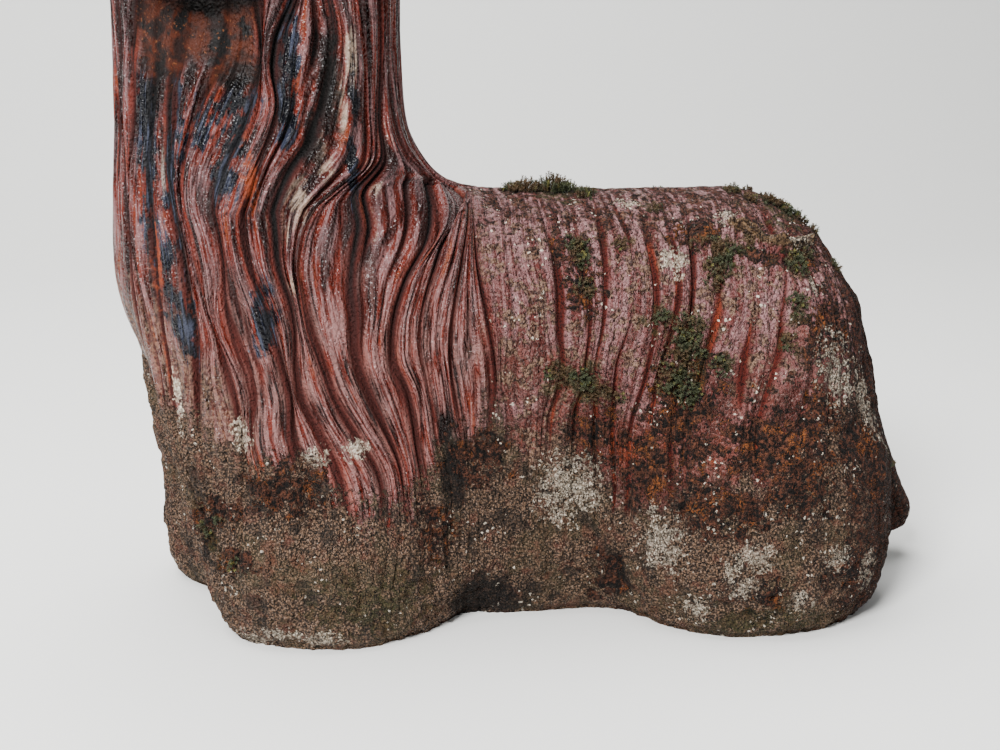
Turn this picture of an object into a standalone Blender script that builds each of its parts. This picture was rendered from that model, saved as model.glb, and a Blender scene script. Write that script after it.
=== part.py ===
"""A weathered garden statue: a long-coated dog that stands with its coat down to the ground.

The statue is one solid casting. Its plain form is a smooth union of egg shapes and rounded rods, the masses a
sculptor starts from. A skin of columns and rows lies over that form. The columns run the way the hair hangs,
from the crown down the neck and from the parting on the back down the flanks, and each lock of hair is a
bundle of columns between two grooves.

Metres, +Z up. The dog stands along X, with its chest towards -X and its tail towards +X, and it turns its
head towards -Y. The origin is on the ground, under the middle of the body.
"""

import math

import bpy
import numpy as np

# Driving dimensions of the casting
LENGTH = 0.56  # from the mane to the tip of the tail
BACK_HEIGHT = 0.28  # from the ground to the top of the back
WIDTH = 0.27  # over the hind coat, the widest place
NECK_WIDTH = 0.186  # the hair round the neck, from the throat to the nape
HEAD_SIZE = 0.21  # height of the head without its beard
HEAD_TOP = 0.61  # from the ground to the crown
HEAD_TURN = 62.0  # degrees that the face is turned from straight ahead, towards -Y

# The carving
LOCK_WIDTH = 0.019  # pitch of the locks round the coat
LOCK_DEPTH = 0.0046  # from the crest of a full lock down to the groove beside it
THROAT_DEPTH = 0.007  # how far the smooth throat lies below the hair on both sides of it
THROAT_REACH = 30.0  # degrees round the neck from the middle of the throat to the hair
LOCK_WAVES = (0.16, 0.36)  # lengths over which the edge of a lock swings to and fro
WANDER = 0.40  # how far the edge of a lock swings, in shares of the pitch
FLOW = 1.85  # how far the hair of the neck swings to the nape and to the chest on its way down, in locks
FLOW_TURN = 1.07  # how far down the swing turns back: 1 is the collar
FLOW_LAG = 0.05  # how much further down it turns for each lock towards the nape
SWEEP = 0.085  # how far the hair of the thigh is swept forward, as a share of the length

# The mesh
LOCK_COLUMNS = (0.0, 0.30, 0.70)  # places of the columns across a lock: the groove and two shoulders
NECK_ROWS = 10
COAT_ROWS = 13
HEAD_RINGS = 14
HEAD_LOCKS = 20
EAR_RINGS = 7
EAR_LOCKS = 6
BUTTON_RINGS = 6
TAIL_RINGS = 10
TAIL_LOCKS = 7
SEED = 11

BLEND = 0.011  # radius of the fillet between the masses
SKIN_STEPS = 40  # steps of the search for the skin along each ray

COLOUR = (0.17, 0.075, 0.06, 1.0)
ROUGHNESS = 0.6


def at(x, y, z):
    """A place given as shares of the body's length, half width and back height."""
    return np.array((x * LENGTH, y * WIDTH / 2, z * BACK_HEIGHT))


NECK_X = -0.277 * LENGTH
NECK_RADIUS = NECK_WIDTH / 2
WITHERS_X = -0.040 * LENGTH
RUMP_X = 0.31 * LENGTH
TAIL_ROOT_X = 0.35 * LENGTH
AXIS_Z = 0.50 * BACK_HEIGHT  # height of the line inside the trunk that the rays start from
COLLAR_Z = 1.0 * BACK_HEIGHT  # height of the front of the collar, where the rows of the neck end
RUMP_SHARE = 0.62  # of the locks of the flank, those ahead of the turn of the rump
TOP_SHARE = 0.56  # of the rows of the flank, those on the rounded top of the trunk
FACE = np.array((-math.cos(math.radians(HEAD_TURN)), -math.sin(math.radians(HEAD_TURN)), 0.0))
HEAD_CENTRE = np.array((NECK_X - 0.02 * HEAD_SIZE, -0.06 * HEAD_SIZE, HEAD_TOP - 0.50 * HEAD_SIZE))
NECK_TOP = np.array((NECK_X, 0, HEAD_TOP - HEAD_SIZE))
NECK_FOOT = np.array((NECK_X, 0, 0.85 * BACK_HEIGHT))
THROAT_Z = NECK_TOP[2] - 0.27 * HEAD_SIZE  # the hair of the chest starts here

# Counts of locks on each side that come from the sizes above
NECK_LOCKS = round(math.pi * NECK_RADIUS / LOCK_WIDTH)
FLANK_LOCKS = round(0.68 * LENGTH / LOCK_WIDTH)
LOCKS = NECK_LOCKS + FLANK_LOCKS


def from_head(forward, sideways, up):
    """A place on the head, in shares of its size, from its centre: towards the nose, to one side and up."""
    side = np.array((-FACE[1], FACE[0], 0.0))
    return HEAD_CENTRE + HEAD_SIZE * (forward * FACE + sideways * side + up * np.array((0, 0, 1.0)))


def egg(points, centre, radii, turn=0.0):
    """Nearly the distance to an ellipsoid, which may be turned about Z by an angle in degrees."""
    p = points - centre
    c, s = math.cos(math.radians(turn)), math.sin(math.radians(turn))
    p = np.stack((c * p[:, 0] + s * p[:, 1], c * p[:, 1] - s * p[:, 0], p[:, 2]), axis=1)
    near = np.linalg.norm(p / radii, axis=1)
    slope = np.linalg.norm(p / radii**2, axis=1)
    return near * (near - 1) / np.maximum(slope, 1e-9)


def rod(points, start, end, start_radius, end_radius):
    """The distance to a rounded rod whose radius changes from one end to the other."""
    axis = end - start
    share = np.clip((points - start) @ axis / (axis @ axis), 0, 1)
    off = points - start - share[:, None] * axis
    return np.linalg.norm(off, axis=1) - (start_radius + share * (end_radius - start_radius))


def smooth_union(distances, radius):
    """The distance to several shapes with a fillet between them."""
    low = np.min(distances, axis=0)
    return low - radius * np.log(sum(np.exp((low - d) / radius) for d in distances))


def body_form(points):
    """The trunk with the coat over the legs, and the neck in its mane."""
    shapes = [
        rod(points, at(-0.10, 0, 0.665), at(0.27, 0, 0.655), 0.335 * BACK_HEIGHT, 0.33 * BACK_HEIGHT),
        egg(points, at(0.05, 0, 0.19), at(0.36, 0.60, 0.34)),
        egg(points, at(0.05, 0, 0.42), at(0.36, 0.58, 0.34)),
        egg(points, at(-0.285, 0, 0.88), at(0.155, 0.66, 0.42)),
        egg(points, at(-0.152, 0, 0.935), at(0.078, 0.52, 0.175)),
        np.minimum(
            rod(points, NECK_FOOT, NECK_TOP, NECK_RADIUS, NECK_RADIUS),
            rod(points, NECK_TOP, HEAD_CENTRE, NECK_RADIUS, 0.75 * NECK_RADIUS),
        ),
    ]
    for side, forward in ((-1, 0.0), (1, -0.060)):
        shapes += [
            egg(points, at(-0.212 + forward, 0.38 * side, 0.13), at(0.150, 0.47, 0.28)),
            egg(points, at(-0.250 + forward / 2, 0.33 * side, 0.56), at(0.158, 0.42, 0.50)),
            egg(points, at(0.290, 0.50 * side, 0.14), at(0.168, 0.53, 0.29)),
            egg(points, at(0.290, 0.48 * side, 0.30), at(0.170, 0.50, 0.30)),
            egg(points, at(0.280, 0.40 * side, 0.50), at(0.160, 0.44, 0.38)),
        ]
    return smooth_union(shapes, BLEND)


def head_form(points):
    """The skull, the muzzle with its moustache and beard, and the brows."""
    turn = HEAD_TURN + 180
    shapes = [
        egg(points, from_head(0, 0, 0.02), HEAD_SIZE * np.array((0.48, 0.46, 0.48)), turn),
        egg(points, from_head(0.36, 0, -0.12), HEAD_SIZE * np.array((0.28, 0.19, 0.16)), turn),
        egg(points, from_head(0.42, 0, -0.25), HEAD_SIZE * np.array((0.18, 0.20, 0.21)), turn),
    ]
    for side in (-1, 1):
        shapes += [
            egg(points, from_head(0.46, 0.12 * side, -0.20), HEAD_SIZE * np.array((0.15, 0.13, 0.17)), turn),
            egg(points, from_head(0.36, 0.19 * side, 0.17), HEAD_SIZE * np.array((0.12, 0.14, 0.075)), turn),
        ]
    return smooth_union(shapes, 0.5 * BLEND)


def ear_form(points, side):
    """A flat ear that hangs down beside the skull."""
    return smooth_union([
        egg(points, from_head(-0.02, 0.41 * side, 0.0), HEAD_SIZE * np.array((0.22, 0.13, 0.27)), HEAD_TURN),
        egg(points, from_head(0.02, 0.45 * side, -0.22), HEAD_SIZE * np.array((0.18, 0.12, 0.24)), HEAD_TURN),
    ], 0.5 * BLEND)


TAIL_PATH = np.array((
    at(0.370, 0, 0.82), at(0.415, 0, 0.66), at(0.435, 0, 0.50), at(0.450, 0, 0.36), at(0.478, 0, 0.23),
    at(0.515, 0, 0.13)
))
TAIL_RADII = LENGTH * np.array((0.038, 0.046, 0.049, 0.049, 0.045, 0.034))


def tail_form(points):
    """The tail, which hangs down the rump and kicks out at its tip."""
    return smooth_union([
        rod(points, TAIL_PATH[n], TAIL_PATH[n + 1], TAIL_RADII[n], TAIL_RADII[n + 1])
        for n in range(len(TAIL_PATH) - 1)
    ], 0.1 * BLEND)


def outward(form, points, step=0.002):
    """The direction straight out of a form at each point."""
    slope = np.stack([form(points + step * e) - form(points - step * e) for e in np.eye(3)], axis=1)
    return slope / np.linalg.norm(slope, axis=1)[:, None]


def skin(form, origin, direction, first_reach):
    """Where the rays leave a form."""
    reach = np.full(len(origin), first_reach)
    for _ in range(SKIN_STEPS):
        reach -= 0.9 * form(origin + reach[:, None] * direction)
    return origin + reach[:, None] * direction


def ease(low, high, value):
    """Goes smoothly from 0 at low to 1 at high."""
    share = np.clip((value - low) / (high - low), 0, 1)
    return share * share * (3 - 2 * share)


def mix(a, b, share):
    return a + (b - a) * share


def polar(turned, lift):
    """The direction of a ray turned from straight ahead towards -Y and lifted from level, in degrees."""
    t, up = np.radians(turned), np.radians(lift)
    return np.stack((-np.cos(t) * np.cos(up), -np.sin(t) * np.cos(up), np.sin(up)), axis=1)


def neck_rays(around, down):
    """Rays to the neck: around goes from 0 at the chest to 1 at the nape, below zero on the far side, and
    down goes from 0 inside the head to 1 at the collar."""
    height = np.interp(down, (0, 0.10, 1), (HEAD_CENTRE[2], HEAD_CENTRE[2], COLLAR_Z))
    lift = np.interp(down, (0, 0.10, 1), (90, 0, 0))
    back = ease(0.45, 1.0, np.abs(around)) * ease(0.55, 1.0, down)
    origin = np.stack((
        mix(mix(HEAD_CENTRE[0], NECK_X, ease(0, 0.5, down)), WITHERS_X, back**2),
        mix(HEAD_CENTRE[1], 0, ease(0, 0.5, down)),
        mix(height, AXIS_Z, back),
    ), axis=1)
    return origin, polar(180 * around, mix(lift, 90, back))


def coat_rays(along, down):
    """Rays to the coat: along goes from 0 at the chest over 1 at the withers to 2 at the tail, and down goes
    from 0 at the collar and the parting to 1 at the ground."""
    front = np.clip(np.abs(along), 0, 1)
    flank = np.clip(np.abs(along) - 1, 0, 1)
    on_flank = np.abs(along) > 1
    back = np.where(on_flank, 1.0, ease(0.45, 1.0, front))
    top = np.maximum(TOP_SHARE * back, 1e-6)
    lift = 90 * back * np.clip(1 - down / top, 0, 1)
    fallen = np.clip((down - top) / (1 - top), 0, 1)
    height = mix(COLLAR_Z, AXIS_Z, back) * (1 - fallen) ** 1.25
    opened = 1 - (1 - np.clip(down / (1.6 * (1 - front) ** 1.5 + 1e-3), 0, 1)) ** 2
    foot_x = mix(-0.20 * LENGTH, WITHERS_X, np.sin(0.5 * math.pi * front))
    front_x = mix(mix(NECK_X, WITHERS_X, back**2), foot_x, opened)
    front_turn = mix(180 * front, 90 * front, opened)
    swept = SWEEP * LENGTH * ease(0.05, 0.8, down) * np.sin(math.pi * flank**1.4) ** 2
    flank_x = np.interp(flank, (0, RUMP_SHARE, 1), (WITHERS_X, RUMP_X, TAIL_ROOT_X)) - swept
    flank_turn = 90 + 90 * ease(0.8 * RUMP_SHARE, 1.0, flank)
    origin = np.stack((np.where(on_flank, flank_x, front_x), np.zeros_like(height), height), axis=1)
    return origin, polar(np.where(on_flank, flank_turn, front_turn) * np.sign(along), lift)


RANDOM = np.random.default_rng(SEED)
LOCK_LENGTHS = RANDOM.uniform(*LOCK_WAVES, (2 * LOCKS + 1, 2))
LOCK_STARTS = RANDOM.uniform(0, 2 * math.pi, (2 * LOCKS + 1, 2))
LOCK_LEVELS = RANDOM.uniform(0.55, 1.0, 2 * LOCKS + 1)


def lock_edge(lock, down):
    """Where the groove at the start of a lock runs, counted in locks. Down goes from 0 to 1 on the neck and
    from 1 to 2 on the coat. The grooves on the nape, the parting and the middle of the tail run straight."""
    lock = np.clip(lock, -LOCKS, LOCKS).astype(int)
    on_neck, on_coat = np.minimum(down, 1), np.maximum(down - 1, 0)
    fallen = on_neck * (HEAD_CENTRE[2] - COLLAR_Z) + on_coat * BACK_HEIGHT
    swing = sum(
        share * np.sin(2 * math.pi * fallen / LOCK_LENGTHS[lock + LOCKS, n] + LOCK_STARTS[lock + LOCKS, n])
        for n, share in enumerate((0.6, 0.4))
    )
    free = np.where(np.abs(lock) < NECK_LOCKS, 1.0, ease(1.0, 1.25, down))
    free = np.where(np.abs(lock) == LOCKS, 0.0, free)
    return lock + WANDER * swing * free


def flow(place, down):
    """Where the hair of the neck has swung to, counted in locks. It leans to the nape under the ears, swings
    to the chest at the collar and back again below it, and the nape and the middle of the chest stay put."""
    beside = np.abs(place)
    past = down - FLOW_TURN - FLOW_LAG * (beside - 0.57 * NECK_LOCKS)
    turned = np.exp(-((past / np.where(past < 0, 0.27, 0.35)) ** 2))
    swing = mix(0.6, 0.15, ease(0, 0.55, past)) - 1.6 * turned
    around = np.clip(beside / NECK_LOCKS, 0, 1)
    return place + np.sign(place) * FLOW * np.sin(math.pi * around**2) * swing


def lock_profile(share):
    """The height of a lock across its width, 0 in the grooves and 1 on the crest."""
    return np.sqrt(np.clip(np.sin(math.pi * np.clip(share, 0, 1)), 0, 1))


def on_throat(points):
    """1 on the smooth throat under the face, 0 elsewhere, with a narrow slope between them."""
    from_neck = points[:, :2] - NECK_TOP[:2]
    off_face = np.degrees(np.arccos(from_neck @ FACE[:2] / np.linalg.norm(from_neck, axis=1)))
    near_face = 1 - ease(0.8 * THROAT_REACH, THROAT_REACH, off_face)
    return near_face * ease(THROAT_Z, THROAT_Z + LOCK_WIDTH, points[:, 2])


def coat_points(place, down):
    """Points of the finished skin. The place is counted in locks from the middle of the chest, below zero on
    the far side, and its whole numbers are the grooves."""
    lock = np.where(place >= LOCKS, LOCKS - 1, np.floor(place))
    share = place - lock
    start, end = lock_edge(lock, down), lock_edge(lock + 1, down)
    wandered = flow(mix(start, end, share), down)
    width = end - start
    along = np.sign(wandered) * np.where(
        np.abs(wandered) <= NECK_LOCKS, np.abs(wandered) / NECK_LOCKS,
        1 + (np.abs(wandered) - NECK_LOCKS) / FLANK_LOCKS,
    )
    on_neck = down < 1
    neck_origin, neck_direction = neck_rays(np.clip(along, -1, 1), np.minimum(down, 1))
    coat_origin, coat_direction = coat_rays(along, np.maximum(down - 1, 0))
    origin = np.where(on_neck[:, None], neck_origin, coat_origin)
    direction = np.where(on_neck[:, None], neck_direction, coat_direction)
    points = skin(body_form, origin, direction, 0.25 * NECK_WIDTH)
    normal = outward(body_form, points)
    normal[down >= 2] *= (1, 1, 0)
    level = LOCK_LEVELS[(lock + LOCKS).astype(int)] * np.clip(width, 0.2, 1.2) ** 0.5
    by_withers = ease(NECK_LOCKS - 3, NECK_LOCKS, np.abs(place))
    on_back = by_withers * ease(0.8, 1.0, down) * (1 - ease(1.0, 1.22, down))
    grown = ease(0, 0.15, down) * mix(1.0, 0.45, ease(1.75, 2.0, down)) * (1 - on_back)
    carved = LOCK_DEPTH * grown * (1 - level * lock_profile(share))
    carved = mix(carved, THROAT_DEPTH, on_throat(points))
    return points - carved[:, None] * normal


def coat_grid(columns, neck_rows, coat_rows):
    """The finished skin as points and faces. The two sides share the nape, the parting and the tail line."""
    places = np.array([lock + share for lock in range(-LOCKS, LOCKS) for share in columns] + [LOCKS], float)
    count = len(places)
    middle = count // 2
    nape = NECK_LOCKS * len(columns)
    last = neck_rows + coat_rows
    partner = {}
    for row in range(last + 1):
        for n in range(count):
            column = n - middle
            if row == 0:
                column = 0
            elif row < neck_rows:
                column = max(-nape, min(nape, column))
            if row <= neck_rows and column <= -nape or column == -middle:
                column = -column
            partner[row, n - middle] = (row, column)
    ids = {key: number for number, key in enumerate(dict.fromkeys(partner.values()))}
    rows = np.array([key[0] for key in ids])
    place = places[np.array([key[1] for key in ids]) + middle]
    down = np.where(rows < neck_rows, rows / neck_rows, 1 + (rows - neck_rows) / coat_rows)
    quads = [
        [(row + 1, n), (row + 1, n + 1), (row, n + 1), (row, n)]
        for row in range(last) for n in range(-middle, middle)
        if row >= neck_rows or -nape <= n < nape
    ]
    quads += [[(last, -n), (last, -n - 1), (last, n + 1), (last, n)] for n in range(middle)]
    faces = []
    for quad in quads:
        ring = list(dict.fromkeys(ids[partner[corner]] for corner in quad))
        if len(ring) > 2:
            faces.append(ring)
    return coat_points(place, down), faces


def pod_grid(form, path, axis, rings, crowding, locks, depth):
    """The skin of a head, an ear or a tail. Rings run from one pole to the other, crowded towards the first.
    Their rays start along a path and tilt from the axis to the opposite way. Locks run from pole to pole."""
    side = np.cross(axis, (0.3, 0.2, 0.9))
    side /= np.linalg.norm(side)
    other = np.cross(axis, side)
    ring, column = np.meshgrid(np.arange(1, rings), np.arange(2 * locks), indexing="ij")
    ring = np.concatenate(([0], ring.ravel(), [rings]))
    column = np.concatenate(([0], column.ravel(), [0]))
    down = ring / rings
    crest = column % 2
    wander = 0.5 * WANDER * np.sin(2 * math.pi * (1.5 * down + 0.37 * (column // 2))) * (1 - crest)
    turn = math.pi * (column + wander) / locks
    tilt = math.pi * down**crowding
    sideways = np.cos(turn)[:, None] * side + np.sin(turn)[:, None] * other
    direction = np.cos(tilt)[:, None] * axis + np.sin(tilt)[:, None] * sideways
    steps = np.linspace(0, 1, len(path))
    origin = np.stack([np.interp(down, steps, path[:, n]) for n in range(3)], axis=1)
    points = skin(form, origin, direction, 0.01 * LENGTH)
    carved = depth * (1 - crest) * ease(0.12, 0.35, down)
    points = points - carved[:, None] * outward(form, points)

    def number(row, n):
        if row == 0:
            return 0
        return len(points) - 1 if row == rings else 1 + (row - 1) * 2 * locks + n % (2 * locks)

    faces = []
    for row in range(rings):
        for n in range(2 * locks):
            corners = (number(row, n), number(row, n + 1), number(row + 1, n + 1), number(row + 1, n))
            faces.append(list(dict.fromkeys(corners)))
    return points, faces


def new_object(name, points, faces):
    mesh = bpy.data.meshes.new(name)
    mesh.from_pydata(points.tolist(), [], faces)
    mesh.validate()
    mesh.materials.append(concrete)
    for face in mesh.polygons:
        face.use_smooth = any(mesh.vertices[n].co.z > 0 for n in face.vertices)
    part = bpy.data.objects.new(name, mesh)
    bpy.context.scene.collection.objects.link(part)
    return part


def unite(body, part):
    """Casts a part in one with the body."""
    part.hide_render = True
    part.display_type = "WIRE"
    joint = body.modifiers.new(part.name, "BOOLEAN")
    joint.operation = "UNION"
    joint.solver = "EXACT"
    joint.object = part


for old in list(bpy.data.objects):
    bpy.data.objects.remove(old)

concrete = bpy.data.materials.new("painted_concrete")
concrete.use_nodes = True
shader = concrete.node_tree.nodes["Principled BSDF"]
shader.inputs["Base Color"].default_value = COLOUR
shader.inputs["Roughness"].default_value = ROUGHNESS
shader.inputs["Metallic"].default_value = 0.0

statue = new_object("dog_statue", *coat_grid(LOCK_COLUMNS, NECK_ROWS, COAT_ROWS))
head_path = np.array((from_head(0.25, 0, -0.08), from_head(0, 0, 0), from_head(0, 0, 0)))
unite(statue, new_object("head_form", *pod_grid(
    head_form, head_path, FACE, HEAD_RINGS, 1.6, HEAD_LOCKS, 0.7 * LOCK_DEPTH
)))
for ear_side, ear_name in ((-1, "far_ear_form"), (1, "near_ear_form")):
    ear_path = np.array((from_head(-0.02, 0.42 * ear_side, 0.06), from_head(0.01, 0.46 * ear_side, -0.30)))
    unite(statue, new_object(ear_name, *pod_grid(
        lambda points: ear_form(points, ear_side), ear_path, np.array((0, 0, 1.0)), EAR_RINGS, 1.0, EAR_LOCKS,
        0.6 * LOCK_DEPTH
    )))
for name, place, radii in (
    ("nose_form", (0.60, 0, -0.05), (0.065, 0.085, 0.065)),
    ("far_eye_form", (0.43, -0.17, 0.04), (0.06, 0.065, 0.06)),
    ("near_eye_form", (0.43, 0.17, 0.04), (0.06, 0.065, 0.06)),
):
    centre = from_head(*place)
    unite(statue, new_object(name, *pod_grid(
        lambda points: egg(points, centre, HEAD_SIZE * np.array(radii), HEAD_TURN + 180),
        np.array((centre, centre)), FACE, BUTTON_RINGS, 1.0, BUTTON_RINGS - 2, 0.0
    )))
unite(statue, new_object("tail_form", *pod_grid(
    tail_form, TAIL_PATH, np.array((-0.3, 0, 0.95)), TAIL_RINGS, 1.0, TAIL_LOCKS, 0.5 * LOCK_DEPTH
)))
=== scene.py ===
# %% [markdown]
# A weathered garden statue: a long-coated dog cast in concrete, painted dark red and left out in the rain.
# The lesson builds its skin, its growth of moss and lichen, and its finish over a model that gives the sizes.
# Everything is in metres, +Z up. The chest looks towards -X, and the head turns towards -Y, the near side.

# %% Load the model that carries the sizes
import math

import bpy
import numpy as np
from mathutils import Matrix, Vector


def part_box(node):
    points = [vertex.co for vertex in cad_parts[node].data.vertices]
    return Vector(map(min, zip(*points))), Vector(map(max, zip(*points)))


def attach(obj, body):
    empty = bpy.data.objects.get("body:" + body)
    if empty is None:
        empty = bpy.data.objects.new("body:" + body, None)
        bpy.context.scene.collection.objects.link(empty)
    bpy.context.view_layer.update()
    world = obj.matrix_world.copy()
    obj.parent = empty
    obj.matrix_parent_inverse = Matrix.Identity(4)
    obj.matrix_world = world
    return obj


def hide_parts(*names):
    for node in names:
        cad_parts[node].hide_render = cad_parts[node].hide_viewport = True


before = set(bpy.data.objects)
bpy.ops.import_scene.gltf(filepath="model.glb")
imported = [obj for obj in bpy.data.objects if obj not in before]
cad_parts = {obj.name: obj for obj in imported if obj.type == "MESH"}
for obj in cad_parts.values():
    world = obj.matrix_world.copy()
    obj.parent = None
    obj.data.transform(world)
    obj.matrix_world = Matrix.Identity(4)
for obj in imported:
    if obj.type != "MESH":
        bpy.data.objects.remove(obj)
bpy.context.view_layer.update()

low, high = (np.array(corner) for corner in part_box("dog_statue"))
TALL = high[2] - low[2]
print("the model is", [round(side, 3) for side in high - low], "m")

# %% [markdown]
# Before anything is made, the camera is set where the photographer stood: a little above the back, turned
# slightly towards the chest, and near enough to cut off the head. The floor is a pale card that curves up
# behind the statue, and three large soft lights stand round it, the strongest up on the left.

# %% Camera, card and lights
def place(thing, spot, towards):
    """Stands a camera or a light at a spot and points it at another."""
    way = np.array(towards, float) - spot
    turn = math.atan2(-way[0], way[1])
    tilt = math.atan2(way[2], math.hypot(way[0], way[1])) + math.pi / 2
    thing.location = spot
    thing.rotation_euler = (tilt, 0, turn)
    bpy.context.scene.collection.objects.link(thing)


eye = bpy.data.cameras.new("photographer")
eye.lens = 54
eye.sensor_width = 36
camera = bpy.data.objects.new("photographer", eye)
CAMERA_SPOT = np.array((-0.156, -0.988, 0.417))
place(camera, CAMERA_SPOT, CAMERA_SPOT + (0.1511, 0.9540, -0.2588))
bpy.context.scene.camera = camera

for name, spot, size, watts in (
    ("window_left", (-1.05, -1.65, 1.7), 0.8, 128),
    ("window_top", (-0.4, 0.3, 2.5), 2.2, 100),
    ("window_front", (0.9, -2.2, 1.0), 1.2, 6),
):
    lamp = bpy.data.lights.new(name, "AREA")
    lamp.shape = "DISK"
    lamp.size = size
    lamp.energy = watts
    place(bpy.data.objects.new(name, lamp), np.array(spot), (0, 0, 0.25))

world = bpy.data.worlds.new("studio")
world.use_nodes = True
world.node_tree.nodes["Background"].inputs["Color"].default_value = (0.86, 0.88, 0.90, 1)
world.node_tree.nodes["Background"].inputs["Strength"].default_value = 0.28
bpy.context.scene.world = world

CARD_WIDTH = 9.0
BEND = 1.2
turns = np.linspace(0.1, math.pi / 2, 14)
sweep = [(-4.0, 0.0), (BEND, 0.0)]
sweep += [(BEND + BEND * math.sin(turn), BEND - BEND * math.cos(turn)) for turn in turns] + [(2.4, 4.0)]
card_mesh = bpy.data.meshes.new("card")
card_mesh.from_pydata(
    [(side * CARD_WIDTH / 2, y, z) for y, z in sweep for side in (-1, 1)], [],
    [(2 * n, 2 * n + 1, 2 * n + 3, 2 * n + 2) for n in range(len(sweep) - 1)],
)
card_mesh.polygons.foreach_set("use_smooth", [True] * len(card_mesh.polygons))
card = bpy.data.objects.new("card", card_mesh)
bpy.context.scene.collection.objects.link(card)
print("camera", [round(float(n), 3) for n in camera.location], "and", len(bpy.data.lights), "lights")

# %% [markdown]
# The statue is a smooth lump of egg shapes and rounded rods with hair cut into it. The lump is not drawn: it
# is a formula that says how far any point is from the surface. Such a formula joins its shapes with soft
# fillets, as wet clay does, and rays sent out from inside find its skin at any fineness. The same sizes made
# the plain model, so the fine skin lies where the plain one does.

# %% Sizes of the masses
CM = TALL / 61
LENGTH = 56 * CM
BACK_HEIGHT = 28 * CM
WIDTH = 27 * CM
NECK_WIDTH = 18.6 * CM
HEAD_SIZE = 21 * CM
HEAD_TURN = 62.0
BLEND = 1.1 * CM


def at(x, y, z):
    """A place given as shares of the body's length, half width and back height."""
    return np.array((x * LENGTH, y * WIDTH / 2, z * BACK_HEIGHT))


NECK_X = -0.277 * LENGTH
NECK_RADIUS = NECK_WIDTH / 2
WITHERS_X = -0.04 * LENGTH
RUMP_X = 0.31 * LENGTH
TAIL_ROOT_X = 0.35 * LENGTH
AXIS_Z = 0.5 * BACK_HEIGHT
COLLAR_Z = BACK_HEIGHT
FACE = np.array((-math.cos(math.radians(HEAD_TURN)), -math.sin(math.radians(HEAD_TURN)), 0.0))
CHEEK = np.array((-FACE[1], FACE[0], 0.0))
HEAD_CENTRE = np.array((NECK_X - 0.02 * HEAD_SIZE, -0.06 * HEAD_SIZE, TALL - 0.5 * HEAD_SIZE))
NECK_TOP = np.array((NECK_X, 0, TALL - HEAD_SIZE))
NECK_FOOT = np.array((NECK_X, 0, 0.85 * BACK_HEIGHT))


def plan(rows):
    """Places worked out in millimetres for a body 560 mm long, in metres on this one."""
    return LENGTH / 0.56 * (np.array(rows) / 1000)


def from_head(forward, sideways, up):
    """A place on the head, in shares of its size, from its centre: towards the nose, to one side and up."""
    return HEAD_CENTRE + HEAD_SIZE * (forward * FACE + sideways * CHEEK + up * np.array((0, 0, 1.0)))


# %% Formulas for the shapes
def egg(points, centre, radii, turn=0.0):
    """Nearly the distance to an ellipsoid, which may be turned about Z by an angle in degrees."""
    p = points - centre
    c, s = math.cos(math.radians(turn)), math.sin(math.radians(turn))
    p = np.stack((c * p[:, 0] + s * p[:, 1], c * p[:, 1] - s * p[:, 0], p[:, 2]), axis=1) / radii
    near = np.sqrt((p * p).sum(axis=1))
    p /= radii
    return near * (near - 1) / np.maximum(np.sqrt((p * p).sum(axis=1)), 1e-9)


def rod(points, start, end, start_radius, end_radius):
    """The distance to a rounded rod whose radius changes from one end to the other."""
    axis = end - start
    share = np.clip((points - start) @ axis / (axis @ axis), 0, 1)
    off = points - start - share[:, None] * axis
    return np.sqrt((off * off).sum(axis=1)) - (start_radius + share * (end_radius - start_radius))


def smooth_union(distances, radius):
    """The distance to several shapes with a fillet between them."""
    nearest = np.min(distances, axis=0)
    return nearest - radius * np.log(sum(np.exp((nearest - d) / radius) for d in distances))


TRUNK_EGGS = (
    ((0.05, 0, 0.19), (0.36, 0.6, 0.34)), ((0.05, 0, 0.42), (0.36, 0.58, 0.34)),
    ((-0.285, 0, 0.88), (0.155, 0.66, 0.42)), ((-0.152, 0, 0.935), (0.078, 0.52, 0.175)),
)
LEG_EGGS = (
    ((-0.212, 0.38, 0.13), (0.15, 0.47, 0.28), 1), ((-0.25, 0.33, 0.56), (0.158, 0.42, 0.5), 0.5),
    ((0.29, 0.5, 0.14), (0.168, 0.53, 0.29), 0), ((0.29, 0.48, 0.3), (0.17, 0.5, 0.3), 0),
    ((0.28, 0.4, 0.5), (0.16, 0.44, 0.38), 0),
)
FAR_FOOT_AHEAD = 0.06


def body_form(points):
    """The trunk with the coat over the legs, and the neck in its mane. The far front foot stands ahead."""
    shapes = [
        rod(points, at(-0.1, 0, 0.665), at(0.27, 0, 0.655), 0.335 * BACK_HEIGHT, 0.33 * BACK_HEIGHT),
        np.minimum(
            rod(points, NECK_FOOT, NECK_TOP, NECK_RADIUS, NECK_RADIUS),
            rod(points, NECK_TOP, HEAD_CENTRE, NECK_RADIUS, 0.75 * NECK_RADIUS),
        ),
    ]
    shapes += [egg(points, at(*spot), at(*radii)) for spot, radii in TRUNK_EGGS]
    for (x, y, z), radii, share in LEG_EGGS:
        shapes.append(egg(points, at(x, -y, z), at(*radii)))
        shapes.append(egg(points, at(x - share * FAR_FOOT_AHEAD, y, z), at(*radii)))
    return smooth_union(shapes, BLEND)


def head_egg(points, spot, radii):
    """An egg turned with the head, its place and its radii given in shares of the head's size."""
    return egg(points, from_head(*spot), HEAD_SIZE * np.array(radii), HEAD_TURN + 180)


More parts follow.
